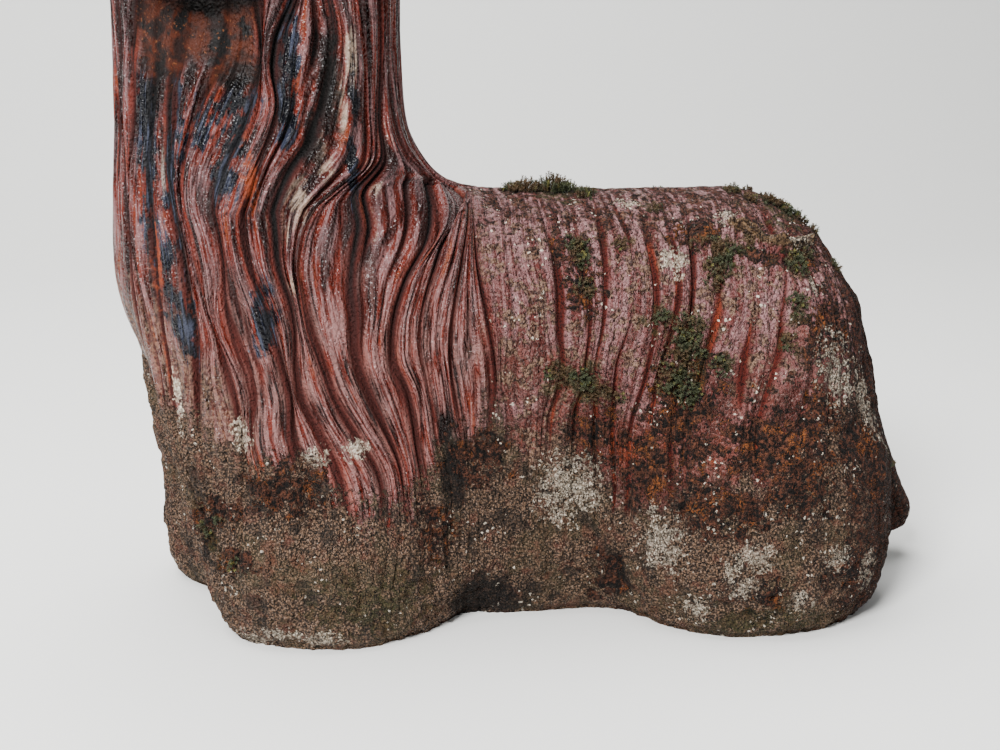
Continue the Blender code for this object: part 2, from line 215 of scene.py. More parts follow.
def head_form(points):
    """The skull, the muzzle with its moustache and beard, and the brows."""
    shapes = [
        head_egg(points, (0, 0, 0.02), (0.48, 0.46, 0.48)),
        head_egg(points, (0.36, 0, -0.12), (0.28, 0.19, 0.16)),
        head_egg(points, (0.42, 0, -0.25), (0.18, 0.2, 0.21)),
    ]
    for side in (-1, 1):
        shapes += [
            head_egg(points, (0.46, 0.12 * side, -0.2), (0.15, 0.13, 0.17)),
            head_egg(points, (0.36, 0.19 * side, 0.17), (0.12, 0.14, 0.075)),
        ]
    return smooth_union(shapes, 0.5 * BLEND)


def ear_form(points, side):
    """A flat ear that hangs down beside the skull."""
    return smooth_union([
        head_egg(points, (-0.02, 0.41 * side, 0.0), (0.22, 0.13, 0.27)),
        head_egg(points, (0.02, 0.45 * side, -0.22), (0.18, 0.12, 0.24)),
    ], 0.5 * BLEND)


TAIL_PATH = np.array((
    at(0.37, 0, 0.82), at(0.415, 0, 0.66), at(0.435, 0, 0.5), at(0.45, 0, 0.36), at(0.478, 0, 0.23),
    at(0.515, 0, 0.13)
))
TAIL_RADII = LENGTH * np.array((0.038, 0.046, 0.049, 0.049, 0.045, 0.034))


def tail_form(points):
    """The tail, which hangs down the rump and kicks out at its tip."""
    return smooth_union([
        rod(points, TAIL_PATH[n], TAIL_PATH[n + 1], TAIL_RADII[n], TAIL_RADII[n + 1])
        for n in range(len(TAIL_PATH) - 1)
    ], 0.1 * BLEND)


def outward(form, points, step=0.002):
    """The direction straight out of a form at each point."""
    slope = np.stack([form(points + step * e) - form(points - step * e) for e in np.eye(3)], axis=1)
    return slope / np.linalg.norm(slope, axis=1)[:, None]


def skin(form, origin, direction, first_reach, steps=18):
    """Where the rays leave a form."""
    reach = np.full(len(origin), first_reach)
    for _ in range(steps):
        reach -= 0.95 * form(origin + reach[:, None] * direction)
    return origin + reach[:, None] * direction


print("the back stands", round(BACK_HEIGHT, 3), "m high and the neck is", round(NECK_WIDTH, 3), "m thick")

# %% [markdown]
# Hair and old concrete are never regular. Both need numbers that look random, yet change smoothly over the
# surface and come out the same on each run. Each cell of a grid gets a fixed random number, worked out from
# its own row and column, and the numbers between the cells are eased from one to the next.

# %% Smooth random numbers
def ease(start, end, value):
    """Goes smoothly from 0 at start to 1 at end."""
    share = np.clip((value - start) / (end - start), 0, 1)
    return share * share * (3 - 2 * share)


def mix(a, b, share):
    return a + (b - a) * share


def chance(cells, seed):
    """A fixed random number from -1 to 1 for each cell of a grid."""
    mixed = np.full(len(cells), seed * 7919 + 17, np.uint32)
    for axis in cells.T:
        mixed = (mixed ^ axis.astype(np.int64).astype(np.uint32)) * np.uint32(2654435761)
        mixed ^= mixed >> np.uint32(15)
    mixed = mixed * np.uint32(2246822519)
    mixed ^= mixed >> np.uint32(13)
    return mixed / 2147483647.5 - 1


def grain(seed, *axes):
    """Random numbers from -1 to 1 that change smoothly along two or three axes, one cell to a unit."""
    share = np.stack(np.broadcast_arrays(*axes), axis=1)
    cell = np.floor(share).astype(np.int64)
    share = share - cell
    share = share**3 * (share * (6 * share - 15) + 10)
    total = 0
    for corner in np.ndindex(*(2,) * len(axes)):
        weight = np.prod(np.where(corner, share, 1 - share), axis=1)
        total = total + weight * chance(cell + corner, seed)
    return total


def grit(points, size, seed):
    """Smooth random numbers in space, with grains of a given size."""
    return grain(seed, *(points / size).T)


# %% [markdown]
# The coat hangs in locks. Each lock is the hair between two grooves that wander as they run down, as a
# modelling tool leaves them. The sculptor cut broad locks first, then split each into strands, then ran a
# comb over them. The same order works here: the locks, and then one formula for a cleft at three widths.

# %% The plan of the locks
LOCK_WIDTH = 1.9 * CM
LOCK_DEPTH = 0.46 * CM
THROAT_DEPTH = 0.7 * CM
THROAT_REACH = 30.0
THROAT_Z = NECK_TOP[2] - 0.27 * HEAD_SIZE
LOCK_WAVES = (0.16, 0.36)
WANDER = 0.4
FLOW = 1.85
FLOW_TURN = 1.07
FLOW_LAG = 0.05
SWEEP = 0.085
RUMP_SHARE = 0.62
TOP_SHARE = 0.56
NECK_LOCKS = round(math.pi * NECK_RADIUS / LOCK_WIDTH)
FLANK_LOCKS = round(0.68 * LENGTH / LOCK_WIDTH)
LOCKS = NECK_LOCKS + FLANK_LOCKS

chooser = np.random.default_rng(11)
LOCK_LENGTHS = chooser.uniform(*LOCK_WAVES, (2 * LOCKS + 1, 2))
LOCK_STARTS = chooser.uniform(0, 2 * math.pi, (2 * LOCKS + 1, 2))
LOCK_LEVELS = chooser.uniform(0.55, 1.0, 2 * LOCKS + 1)


def polar(turned, lift):
    """The direction of a ray turned from straight ahead towards -Y and lifted from level, in degrees."""
    t, up = np.radians(turned), np.radians(lift)
    return np.stack((-np.cos(t) * np.cos(up), -np.sin(t) * np.cos(up), np.sin(up)), axis=1)


def neck_rays(around, down):
    """Rays to the neck: around goes from 0 at the chest to 1 at the nape, below zero on the far side; down
    goes from 0 in the head to 1 at the collar."""
    height = np.interp(down, (0, 0.1, 1), (HEAD_CENTRE[2], HEAD_CENTRE[2], COLLAR_Z))
    lift = np.interp(down, (0, 0.1, 1), (90, 0, 0))
    back = ease(0.45, 1.0, np.abs(around)) * ease(0.55, 1.0, down)
    origin = np.stack((
        mix(mix(HEAD_CENTRE[0], NECK_X, ease(0, 0.5, down)), WITHERS_X, back**2),
        mix(HEAD_CENTRE[1], 0, ease(0, 0.5, down)),
        mix(height, AXIS_Z, back),
    ), axis=1)
    return origin, polar(180 * around, mix(lift, 90, back))


def coat_rays(along, down):
    """Rays to the coat: along goes from 0 at the chest over 1 at the withers to 2 at the tail, and down goes
    from 0 at the collar and the parting to 1 at the ground."""
    front = np.clip(np.abs(along), 0, 1)
    flank = np.clip(np.abs(along) - 1, 0, 1)
    on_flank = np.abs(along) > 1
    back = np.where(on_flank, 1.0, ease(0.45, 1.0, front))
    top = np.maximum(TOP_SHARE * back, 1e-6)
    lift = 90 * back * np.clip(1 - down / top, 0, 1)
    fallen = np.clip((down - top) / (1 - top), 0, 1)
    height = mix(COLLAR_Z, AXIS_Z, back) * (1 - fallen) ** 1.25
    opened = 1 - (1 - np.clip(down / (1.6 * (1 - front) ** 1.5 + 1e-3), 0, 1)) ** 2
    foot_x = mix(-0.2 * LENGTH, WITHERS_X, np.sin(0.5 * math.pi * front))
    front_x = mix(mix(NECK_X, WITHERS_X, back**2), foot_x, opened)
    front_turn = mix(180 * front, 90 * front, opened)
    swept = SWEEP * LENGTH * ease(0.05, 0.8, down) * np.sin(math.pi * flank**1.4) ** 2
    flank_x = np.interp(flank, (0, RUMP_SHARE, 1), (WITHERS_X, RUMP_X, TAIL_ROOT_X)) - swept
    flank_turn = 90 + 90 * ease(0.8 * RUMP_SHARE, 1.0, flank)
    origin = np.stack((np.where(on_flank, flank_x, front_x), np.zeros_like(height), height), axis=1)
    return origin, polar(np.where(on_flank, flank_turn, front_turn) * np.sign(along), lift)


def fallen_length(down):
    """Metres that the hair has run down: over the neck while down goes to 1, then over the coat."""
    return np.minimum(down, 1) * (HEAD_CENTRE[2] - COLLAR_Z) + np.maximum(down - 1, 0) * BACK_HEIGHT


def lock_edge(lock, down):
    """Where the groove at the start of a lock runs, counted in locks. The grooves on the nape, the parting
    and the middle of the tail run straight."""
    lock = np.clip(lock, -LOCKS, LOCKS).astype(int)
    fall = 2 * math.pi * fallen_length(down)[:, None]
    swing = np.sin(fall / LOCK_LENGTHS[lock + LOCKS] + LOCK_STARTS[lock + LOCKS]) @ (0.6, 0.4)
    free = np.where(np.abs(lock) < NECK_LOCKS, 1.0, ease(1.0, 1.25, down)) * (np.abs(lock) < LOCKS)
    return lock + WANDER * swing * free


def flow(place, down):
    """Where the hair of the neck has swung to, counted in locks: to the nape under the ears, to the chest at
    the collar, and back below it."""
    beside = np.abs(place)
    past = down - FLOW_TURN - FLOW_LAG * (beside - 0.57 * NECK_LOCKS)
    turned = np.exp(-((past / np.where(past < 0, 0.27, 0.35)) ** 2))
    swing = mix(0.6, 0.15, ease(0, 0.55, past)) - 1.6 * turned
    around = np.clip(beside / NECK_LOCKS, 0, 1)
    return place + np.sign(place) * FLOW * np.sin(math.pi * around**2) * swing


print(NECK_LOCKS, "locks on each side of the neck and", FLANK_LOCKS, "on each flank")


# %% Grooves inside the locks
def clefts(across, run, width, wander, seed):
    """How deep the cut between two strands is: 0 on a crest, up to 1 between. Across is counted in strands
    and run in metres. Each cut comes, goes and wanders over lengths of the given width."""
    bent = across + wander * grain(seed, across / 2, run / width)
    cut = np.round(bent)
    off = 1 - 2 * np.abs(bent - cut)
    strong = np.clip(0.75 + 0.8 * grain(seed + 1, cut * 3.7, 1.4 * run / width), 0.05, 1)
    return strong * off**2.2


def hair_relief(place, run, wide):
    """Inward depth of the strands within the locks, in metres. A lock that has spread, as told by how many
    times wider it is than most, splits into finer strands."""
    broad = 0.004 * clefts(2.1 * place, run, 0.1, 0.8, 21)
    middle = 0.0022 * clefts(4.3 * place, run, 0.06, 0.7, 23)
    fine = 0.0009 * clefts(8.0 * place, run, 0.04, 0.5, 25)
    spread = ease(0.9, 1.7, wide)
    return broad + mix(0.9, 1.8, spread) * middle + mix(0.8, 2.0, spread) * fine


def on_throat(points, lifted):
    """1 on the smooth throat under the face, 0 elsewhere. The hair starts higher where a lock is lifted."""
    from_neck = points[:, :2] - NECK_TOP[:2]
    off_face = np.degrees(np.arccos(from_neck @ FACE[:2] / np.linalg.norm(from_neck, axis=1)))
    near_face = 1 - ease(0.8 * THROAT_REACH, THROAT_REACH, off_face)
    return near_face * ease(THROAT_Z, THROAT_Z + LOCK_WIDTH, points[:, 2] - lifted)


# %% [markdown]
# Rain wears the lower coat, where the paint has gone and the sand of the concrete stands bare. The line
# between the two is ragged: it lies low on the front legs and the thigh, and the paint runs down furthest
# in the hollows. It is kept as pairs: a place along the body and the line's height there, in millimetres.

# %% Where the paint ends
PAINT_EDGE = plan((
    (-260, 175), (-220, 158), (-200, 138), (-177, 130), (-141, 118), (-104, 98), (-65, 104), (-49, 128),
    (-26, 136), (0, 128), (33, 118), (65, 92), (86, 88), (109, 100), (145, 112), (186, 135), (221, 155),
    (300, 170),
))
PAINT_FADE = 0.055


def paint_left(points, place, run):
    """How much paint is left: 1 well above the ragged line, 0 well below it."""
    edge = np.interp(points[:, 0], PAINT_EDGE[:, 0], PAINT_EDGE[:, 1])
    edge = edge + np.where(points[:, 1] > 0, 0.012 * np.sin(40 * points[:, 0]), 0)
    ragged = 0.014 * grain(31, 1.7 * place, run / 0.05) + 0.008 * grit(points, 0.012, 32)
    return np.clip(0.5 + (points[:, 2] - edge + ragged) / PAINT_FADE, 0, 1)


# %% [markdown]
# Years outdoors have left their marks in places of their own: blue-black paint where the red has worn off
# the mane, rust where water ran, brown and black crusts of dried growth on the thigh, and pale lichen. Each
# row is a place on the near side, x, y and z, and its reach across and down, all in millimetres. The far side
# has the same kinds of marks, shifted, since the photograph doesn't show it.

# %% Where the marks are
MARKS = {
    "worn": (
        (-203, -76, 328, 7, 35), (-212, -76, 285, 6, 35), (-214, -78, 240, 8, 30), (-207, -83, 215, 10, 25),
        (-190, -84, 325, 6, 25), (-172, -90, 345, 12, 18), (-170, -92, 325, 8, 25), (-178, -90, 300, 8, 25),
        (-136, -89, 365, 6, 40), (-140, -90, 335, 7, 22), (-159, -102, 215, 8, 20), (-98, -75, 350, 4, 30),
        (-100, -80, 300, 5, 30), (-225, -60, 335, 10, 45), (-222, -65, 280, 9, 45),
    ),
    "pale": (
        (-100, -73, 372, 4, 20), (-106, -78, 344, 4, 18), (-119, -87, 310, 6, 18), (-135, -95, 287, 7, 14),
        (-146, -95, 273, 7, 12), (-78, -55, 307, 5, 14), (-87, -72, 289, 5, 14), (-95, -81, 270, 6, 14),
        (-215, -75, 315, 4, 16), (-141, -101, 236, 4, 7),
    ),
    # Painted shade: near-black in recesses of the mane, between the front leg and the belly, under the chin
    # and in a line under the ridge on each thigh. These places are also cut a little deeper.
    "hollow_shade": (
        (-216, -65, 347, 7, 30), (-167, -87, 360, 14, 10), (-115, -80, 350, 9, 35), (-125, -86, 318, 7, 25),
        (-195, -80, 357, 6, 8), (-185, -85, 403, 30, 9), (-42, -80, 109, 8, 30), (-47, -86, 138, 5, 18),
        (66, -86, 32, 8, 18), (-22, -73, 14, 20, 20), (-204, -70, 62, 6, 12), (-184, -86, 50, 5, 10),
        (160, -74, 243, 10, 3), (176, -74, 240, 10, 3), (190, -64, 239, 8, 3),
    ),
    "rust": (
        (-195, -80, 300, 6, 30), (-185, -85, 305, 5, 25), (-163, -95, 290, 6, 30), (-200, -85, 220, 5, 30),
        (-222, -70, 235, 8, 40), (-150, -106, 48, 10, 12), (-60, -80, 175, 7, 45), (-48, -80, 150, 6, 40),
        (-30, -80, 175, 5, 30), (70, -90, 120, 16, 16), (90, -100, 135, 10, 20), (125, -115, 120, 12, 20),
        (-45, -97, 120, 8, 20), (-165, -95, 115, 10, 20),
    ),
    "crust": (
        (41, -81, 224, 10, 16), (38, -66, 247, 12, 10), (52, -84, 126, 16, 18), (106, -104, 160, 18, 28),
        (96, -104, 140, 20, 25), (81, -102, 112, 16, 22), (109, -122, 92, 22, 16), (165, -126, 127, 30, 26),
        (146, -123, 133, 24, 20), (170, -132, 105, 26, 20), (132, -128, 90, 20, 14), (208, -131, 45, 20, 10),
        (-147, -97, 107, 18, 16), (-26, -81, 118, 18, 16), (-202, -71, 74, 14, 14), (-181, -88, 59, 12, 14),
        (-192, -80, 85, 14, 10), (190, -120, 150, 20, 18), (60, -76, 30, 14, 14), (-60, -80, 70, 18, 16),
        (160, -74, 244, 18, 5), (190, -70, 240, 12, 8), (118, -60, 256, 14, 8), (150, -135, 30, 20, 10),
        (205, -100, 190, 20, 30), (220, -110, 120, 20, 30),
    ),
    "lichen": (
        (34, -83, 93, 17, 17), (86, -114, 66, 12, 16), (-214, -73, 160, 4, 18), (-176, -95, 144, 5, 8),
        (144, -48, 262, 7, 7), (108, -122, 20, 9, 8), (130, -134, 51, 7, 7), (144, -139, 59, 9, 8),
        (136, -138, 38, 7, 9), (174, -136, 28, 8, 7), (200, -133, 53, 9, 7), (226, -121, 40, 7, 10),
        (-176, -90, 4, 10, 5), (-160, -101, 10, 8, 5), (-132, -109, 8, 12, 5), (-130, -100, 128, 6, 5),
        (-105, -98, 130, 6, 5), (193, -87, 214, 3, 18), (205, -105, 170, 12, 20), (230, -95, 140, 6, 30),
        (245, -88, 110, 4, 30), (103, -74, 236, 6, 18), (80, -30, 275, 6, 5), (186, -59, 247, 8, 5),
    ),
    "green": (
        (132, -78, 242, 14, 14), (105, -100, 191, 16, 18), (102, -102, 175, 14, 14), (88, -90, 205, 10, 10),
        (27, -93, 169, 14, 10), (43, -92, 163, 14, 14), (170, -67, 250, 20, 10), (177, -98, 213, 10, 10),
        (169, -107, 190, 8, 8), (126, -109, 179, 8, 8), (69, -61, 248, 8, 8), (98, -35, 269, 8, 8),
        (35, -6, 278, 20, 10), (190, -20, 262, 30, 10), (248, -88, 100, 6, 20), (-195, -74, 67, 14, 12),
        (150, -130, 12, 50, 14), (-100, -100, 30, 50, 25),
    ),
}
FAR_SHIFT = 0.035 * LENGTH


def patched(points, rows):
    """How strongly a mark shows at each point: 1 in the middle of its places, 0 away from them."""
    x, y, z = points.T
    x, y = x - np.where(y > 0, FAR_SHIFT, 0), -np.abs(y)
    strength = np.zeros(len(points))
    for at_x, at_y, at_z, reach, drop in plan(rows):
        off = np.sqrt(((x - at_x) ** 2 + (y - at_y) ** 2) / reach**2 + (z - at_z) ** 2 / drop**2)
        strength = np.maximum(strength, 1 - 0.5 * np.minimum(off, 2))
    return strength


FOLD = plan((
    (145, -55, 258), (153, -62, 254), (162, -68, 251), (172, -69, 249), (184, -66, 246), (197, -56, 246),
))
fold_middle = FOLD * (1, 0, 0) + (0, 0, AXIS_Z)
fold_ways = (FOLD - fold_middle) / np.linalg.norm(FOLD - fold_middle, axis=1)[:, None]
FOLD = skin(body_form, fold_middle, fold_ways, 0.25 * NECK_WIDTH)
FOLD_WIDTH = 0.0048
FOLD_HEIGHT = 0.008


def marks_at(points):
    """How strongly each mark shows at each point."""
    return {mark: patched(points, rows) for mark, rows in MARKS.items()}


def fold(points):
    """The ridge of hair that lies slantwise over the top of each thigh, 1 along its crest."""
    near = np.stack((points[:, 0], -np.abs(points[:, 1]), points[:, 2]), axis=1)
    off = np.min([rod(near, a, b, 0, 0) for a, b in zip(FOLD[:-1], FOLD[1:])], axis=0)
    return np.exp(-((off / FOLD_WIDTH) ** 2))


print(sum(len(rows) for rows in MARKS.values()), "marks on each side")

# %% [markdown]
# The skin of the coat is one sheet of columns and rows. Columns run the way the hair hangs, and each lock
# takes several. The sheet is built whole, so its two sides meet exactly along the nape and the back, and is
# then cut into four pieces along the chest, the back and the withers, since one mesh that fine would be
# heavy to handle. Each piece keeps the shading of the whole sheet along its edges, so no seam shows. Strips
# from the rim to a spine along the middle close the underside.

# %% Points of the coat
SPLIT, NECK_ROWS, COAT_ROWS = ((21, 90, 195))
SKIN_INSET = 0.0006
UNDERCUT, UNDERCUT_HEIGHT = 0.002, 0.006
HOLLOW_DEPTH = 0.0025
BOX_MARGIN = 1e-5


def inside(points):
    """Keeps points within the box of the plain model."""
    return np.clip(points, low + BOX_MARGIN, high - BOX_MARGIN)


def grime(points):
    """How far the wet dirt of the rump has spread: none ahead of the thigh, 1 behind it."""
    return ease(0.29 * LENGTH, 0.45 * LENGTH, points[:, 0])


def coat_points(place, down):
    """Finished points of the coat and what the finish needs to know of each. The place is counted in locks
    from the middle of the chest, below zero on the far side."""
    lock = np.where(place >= LOCKS, LOCKS - 1, np.floor(place))
    share = place - lock
    start, end = lock_edge(lock, down), lock_edge(lock + 1, down)
    run = fallen_length(down)
    beside = np.abs(place)
    loose = ease(0, 1.5, np.abs(NECK_LOCKS - beside)) * ease(0, 1.5, LOCKS - beside)
    still = mix(start, end, share) + 0.22 * loose * grain(44, 0.9 * place, run / 0.035)
    wandered = flow(still, down)
    wide = np.abs(flow(still + 0.05, down) - wandered) / 0.05 * (end - start)
    past_nape = np.abs(wandered) - NECK_LOCKS
    along = np.where(past_nape <= 0, np.abs(wandered) / NECK_LOCKS, 1 + past_nape / FLANK_LOCKS)
    along *= np.sign(wandered)
    on_neck = (down < 1)[:, None]
    to_neck = neck_rays(np.clip(along, -1, 1), np.minimum(down, 1))
    to_coat = coat_rays(along, np.maximum(down - 1, 0))
    origin, direction = (np.where(on_neck, neck, coat) for neck, coat in zip(to_neck, to_coat))
    points = skin(body_form, origin, direction, 0.25 * NECK_WIDTH)
    normal = outward(body_form, points)
    normal[down >= 2] *= (1, 1, 0)
    normal /= np.linalg.norm(normal, axis=1)[:, None]

    level = LOCK_LEVELS[(lock + LOCKS).astype(int)] * np.clip(end - start, 0.2, 1.2) ** 0.5
    by_withers = ease(NECK_LOCKS - 3, NECK_LOCKS, beside)
    on_back = by_withers * ease(0.8, 1.0, down) * (1 - ease(1.0, 1.22, down))
    paint = paint_left(points, place, run)
    flank = ease(NECK_LOCKS - 1, NECK_LOCKS + 1, beside) * ease(1.0, 1.02, down)
    grown = ease(0, 0.15, down) * mix(1.0, 0.45, ease(1.75, 2.0, down)) * (1 - on_back)
    groove = 2.3 * (lock + np.round(share))
    strong = np.clip(0.9 + 0.6 * grain(41, groove, run / 0.11), 0.25, 1.4)
    strong = mix(strong, np.clip(0.75 + 1.1 * grain(43, groove, run / 0.05), 0, 1.4), flank)
    off_cut = np.clip(np.minimum(share, 1 - share) * np.maximum(wide, 1), 0, 0.5)
    crest = np.sin(math.pi * off_cut) ** mix(0.52, 0.72, flank)
    deep = strong * (1 - crest) * mix(1.05, 0.95, flank)
    sound = mix(0.5, 1.0, paint)
    carved = LOCK_DEPTH * grown * ((1 - level) * crest + deep * sound)
    strands = hair_relief(place, run, wide) * grown * sound * mix(1.0, 0.6, flank)
    marks = marks_at(points)
    throat = on_throat(points, 0.01 * crest - 0.004 + 0.006 * grain(61, lock * 3.1, lock * 1.7))
    carved = mix(carved + strands, THROAT_DEPTH + 0.0012 * grit(points, 0.012, 62), throat)
    carved += SKIN_INSET + HOLLOW_DEPTH * ease(0.3, 0.9, marks["hollow_shade"])
    carved += 0.001 * flank * (1 + grit(points, 0.013, 59))
    sandy = 0.001 * grit(points, 0.005, 51) + 0.0009 * grit(points, 0.0028, 52)
    bulging = 0.0016 * grit(points, 0.015, 53) + 0.0022 * grit(points, 0.034, 60)
    carved += (1 - paint + 0.35 * on_back) * np.clip(sandy + bulging, -0.0012, 0.004)
    crusty = 0.0008 + 0.0016 * grit(points, 0.005, 55) + 0.001 * grit(points, 0.0028, 56)
    carved -= np.clip(marks["crust"] * crusty, 0, 0.002)
    carved -= FOLD_HEIGHT * fold(points) * (1 + 0.6 * grit(points, 0.006, 57))
    carved += UNDERCUT * (1 - ease(0, UNDERCUT_HEIGHT, points[:, 2]))
    facts = {
        "across": place * LOCK_WIDTH, "run": run,
        "cut": np.clip(deep * grown + (strands / 0.008) ** 2, 0, 1),
        "paint": paint, "flank": np.maximum(flank, on_back), "throat": throat,
        "grime": grime(points), "fold": fold(points), **marks,
    }
    finished = points - carved[:, None] * normal
    finished[down >= 2, 2] = 0
    return inside(finished), facts


def shading(points, quads):
    """The direction that each point of a smooth sheet faces."""
    corners = points[quads]
    facing = np.cross(corners[:, 2] - corners[:, 0], corners[:, 3] - corners[:, 1])
    total = np.stack([
        np.bincount(quads.ravel(), np.repeat(facing[:, n], 4), minlength=len(points)) for n in range(3)
    ], axis=1)
    return total / np.maximum(np.linalg.norm(total, axis=1), 1e-12)[:, None]


# %% Rows and columns of the coat
KEY_STEP = 100000
shares = np.arange(SPLIT) / SPLIT
places = np.append((np.arange(-LOCKS, LOCKS)[:, None] + shares).ravel(), LOCKS)
middle = len(places) // 2
nape = NECK_LOCKS * SPLIT
downs = np.concatenate(([0], np.linspace(0.25, 1, NECK_ROWS)[:-1], np.linspace(1, 2, COAT_ROWS + 1)))
collar = NECK_ROWS

row, column = np.meshgrid(np.arange(len(downs)), np.arange(-middle, middle + 1), indexing="ij")
shared = np.where(row == 0, 0, np.where(row < collar, np.clip(column, -nape, nape), column))
folded = (row <= collar) & (shared <= -nape) | (shared == -middle)
shared = np.where(folded, -shared, shared)
keys, number = np.unique(row * KEY_STEP + shared + middle, return_inverse=True)
number = number.reshape(row.shape)
coat_finished, coat_facts = coat_points(places[keys % KEY_STEP], downs[keys // KEY_STEP])

quads = np.stack((number[1:, :-1], number[1:, 1:], number[:-1, 1:], number[:-1, :-1]), axis=2)
row, column = row[:-1, :-1], column[:-1, :-1]
used = (row >= collar) | (column >= -nape) & (column < nape)
coat_shading = shading(coat_finished, quads[used])

# %% Close the underside
rim_number = number[-1]
rim = coat_finished[rim_number]
front, rear = rim[middle, 0], rim[0, 0]
spine = np.stack((np.clip(rim[:, 0], front, rear), 0 * rim[:, 0], rim[:, 2]), axis=1)
spine_number = len(coat_finished) + np.arange(len(rim))
spine_number[rim[:, 0] <= front] = rim_number[middle]
spine_number[rim[:, 0] >= rear] = rim_number[0]
sole_quads = np.stack((rim_number[1:], rim_number[:-1], spine_number[:-1], spine_number[1:]), axis=1)
coat_finished = np.concatenate((coat_finished, spine))
coat_shading = np.concatenate((coat_shading, np.tile((0, 0, -1.0), (len(spine), 1))))
coat_facts = {fact: np.append(values, values[rim_number]) for fact, values in coat_facts.items()}
print("the coat has", len(coat_finished), "points")


# %% Make a piece from points and faces
def new_piece(name, points, faces, facts, facing=None, smooth=True):
    """A mesh of its own, which carries what the finish needs to know of each point. Faces that have shrunk
    to a line are left out."""
    mesh = bpy.data.meshes.new(name)
    faces = (list(dict.fromkeys(face)) for face in faces)
    mesh.from_pydata(points.tolist(), [], [face for face in faces if len(face) > 2])
    mesh.polygons.foreach_set("use_smooth", [smooth] * len(mesh.polygons))
    for fact, values in facts.items():
        mesh.attributes.new(fact, "FLOAT", "POINT").data.foreach_set("value", values.astype(np.float32))
    if facing is not None:
        mesh.normals_split_custom_set_from_vertices(facing.tolist())
    piece = bpy.data.objects.new(name, mesh)
    bpy.context.scene.collection.objects.link(piece)
    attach(piece, "root")
    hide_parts("dog_statue")
    print(name, "has", sum(len(polygon.vertices) - 2 for polygon in mesh.polygons), "triangles")
    return piece


# %% Cut the coat into its four pieces
statue = []
for name, side, on_flank in (
    ("near_mane", 1, False), ("near_flank", 1, True), ("far_mane", -1, False), ("far_flank", -1, True),
):
    part = (column >= 0) == (side > 0)
    part &= ((column >= -nape) & (column < nape)) != on_flank
    faces = np.concatenate((quads[used & part], sole_quads[part[0]]))
    kept, faces = np.unique(faces, return_inverse=True)
    facts = {fact: values[kept] for fact, values in coat_facts.items()}
    faces = faces.reshape(-1, 4).tolist()
    statue.append(new_piece(name, coat_finished[kept], faces, facts, coat_shading[kept]))

# %% [markdown]
# The head, the ears and the tail are cast with the coat. Each is a ball of rings and columns stretched over
# its own form, with the same grooves run from one pole to the other. The head's first pole is the crown, so
# its hair falls over the brow and the cheeks. The face is smoother, and has a mouth cut into it.

# %% Head, ears and tail
def on_face(points):
    """1 on the front of the head, 0 from the cheeks back."""
    return ease(0.18, 0.42, (points - HEAD_CENTRE) @ FACE / HEAD_SIZE)


def mouth(points):
    """1 along the mouth: a short line down from the nose, which parts to both sides."""
    share = (points - HEAD_CENTRE) / HEAD_SIZE
    aside, up = np.abs(share @ CHEEK), share[:, 2]
    below_nose = np.exp(-((aside / 0.015) ** 2)) * ease(-0.22, -0.18, up) * ease(-0.08, -0.12, up)
    lips = np.exp(-(((up + 0.2 + 0.35 * aside) / 0.018) ** 2)) * ease(0.2, 0.15, aside)
    return np.maximum(below_nose, lips) * ease(0.3, 0.4, share @ FACE)


MOUTH_DEPTH = 0.004
UP = np.array((0, 0, 1.0))


